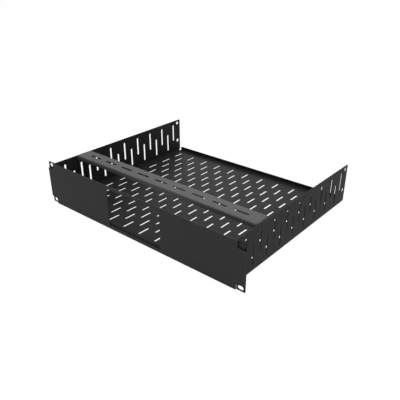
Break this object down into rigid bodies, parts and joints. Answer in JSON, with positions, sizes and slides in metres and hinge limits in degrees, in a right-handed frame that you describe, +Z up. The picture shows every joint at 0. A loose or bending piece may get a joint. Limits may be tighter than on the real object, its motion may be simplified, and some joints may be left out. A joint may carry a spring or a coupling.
{
  "type": "vented rack shelf",
  "caption": "Low open steel tray with slotted floor and walls, rack ears, a magnet-held faceplate with a window, and a slotted bar that clamps equipment down.",
  "frame": {"origin": "middle of the rear face of the two rack ears, the face that bears on the rack's rails", "axes": "+X to the right seen from the front, along the panel's width; +Y from the ears to the rear; +Z up"},
  "size_m": [0.4826, 0.3694, 0.09],
  "materials": {
    "tray_coat": "matte black powder coat",
    "faceplate_coat": "matte black powder coat",
    "bar_coat": "matte black powder coat",
    "magnet_strip": "dark rubber-bonded magnet",
    "plated_steel": "zinc plated",
    "black_steel": "black oxide",
    "black_nylon": "plain black nylon"
  },
  "bodies": {
    "tray": {"vented_floor": "tray_coat", "left_side_wall": "tray_coat", "right_side_wall": "tray_coat", "left_rack_ear": "tray_coat", "right_rack_ear": "tray_coat", "rear_lip": "tray_coat", "front_lip": "tray_coat"},
    "front_panel": {"faceplate": "faceplate_coat", "left_magnet_strip": "magnet_strip", "right_magnet_strip": "magnet_strip", "lower_magnet_strip": "magnet_strip"},
    "clamped_bar": {"hold_down_bar": "bar_coat", "left_bar_tab": "bar_coat", "right_bar_tab": "bar_coat", "guide_pins": "black_steel", "clamp_washers": "black_nylon", "clinch_nuts": "plated_steel", "clamp_screws": "black_steel"}
  },
  "joints": [
    {"name": "bar_height", "type": "slide", "parent": "tray", "child": "clamped_bar", "axis": [0, 0, 1], "range_m": [-0.0356, 0]},
    {"name": "faceplate_pull", "type": "slide", "parent": "tray", "child": "front_panel", "axis": [0, -1, 0], "range_m": [0, 0.06]}
  ]
}
